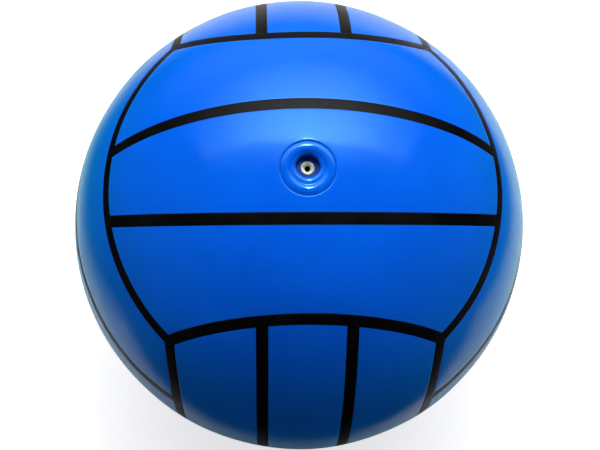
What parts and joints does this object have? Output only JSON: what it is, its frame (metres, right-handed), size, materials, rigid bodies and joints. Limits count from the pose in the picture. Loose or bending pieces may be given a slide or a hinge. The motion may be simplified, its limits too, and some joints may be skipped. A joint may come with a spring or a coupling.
{
  "type": "water polo ball",
  "caption": "Inflatable rubber water polo ball with blue cover panels, black inlaid seam strips and a needle valve.",
  "frame": {"origin": "centre of the ball", "axes": "+Z out through the valve, +X along the valve panel, +Y across it"},
  "size_m": [0.2, 0.2, 0.1995],
  "materials": {
    "cover_rubber": "glossy blue rubber",
    "seam_rubber": "glossy black rubber",
    "eyelet_rubber": "glossy blue rubber",
    "core_rubber": "matt cream rubber",
    "housing_rubber": "matt blue rubber",
    "carcass_rubber": "matt black rubber",
    "winding_thread": "wound nylon thread",
    "bladder_rubber": "matt butyl rubber"
  },
  "bodies": {
    "ball": {"back_bottom_edge_seam": "seam_rubber", "back_left_panel": "cover_rubber", "back_left_seam": "seam_rubber", "back_middle_panel": "cover_rubber", "back_right_panel": "cover_rubber", "back_right_seam": "seam_rubber", "back_top_edge_seam": "seam_rubber", "bladder": "bladder_rubber", "bottom_back_panel": "cover_rubber", "bottom_back_seam": "seam_rubber", "bottom_front_panel": "cover_rubber", "bottom_front_seam": "seam_rubber", "bottom_left_edge_seam": "seam_rubber", "bottom_middle_panel": "cover_rubber", "bottom_right_edge_seam": "seam_rubber", "carcass": "carcass_rubber", "front_bottom_edge_seam": "seam_rubber", "front_left_panel": "cover_rubber", "front_left_seam": "seam_rubber", "front_middle_panel": "cover_rubber", "front_right_panel": "cover_rubber", "front_right_seam": "seam_rubber", "front_top_edge_seam": "seam_rubber", "left_back_edge_seam": "seam_rubber", "left_front_edge_seam": "seam_rubber", "left_lower_panel": "cover_rubber", "left_lower_seam": "seam_rubber", "left_middle_panel": "cover_rubber", "left_upper_panel": "cover_rubber", "left_upper_seam": "seam_rubber", "right_back_edge_seam": "seam_rubber", "right_front_edge_seam": "seam_rubber", "right_lower_panel": "cover_rubber", "right_lower_seam": "seam_rubber", "right_middle_panel": "cover_rubber", "right_upper_panel": "cover_rubber", "right_upper_seam": "seam_rubber", "seam_corners": "seam_rubber", "top_back_panel": "cover_rubber", "top_back_seam": "seam_rubber", "top_front_panel": "cover_rubber", "top_front_seam": "seam_rubber", "top_left_edge_seam": "seam_rubber", "top_right_edge_seam": "seam_rubber", "valve_eyelet": "eyelet_rubber", "valve_housing": "housing_rubber", "valve_panel": "cover_rubber", "winding": "winding_thread"},
    "core": {"valve_core": "core_rubber"}
  },
  "joints": [
    {"name": "core_pull", "type": "slide", "parent": "ball", "child": "core", "axis": [0, 0, 1], "range_m": [0, 0.02]}
  ]
}
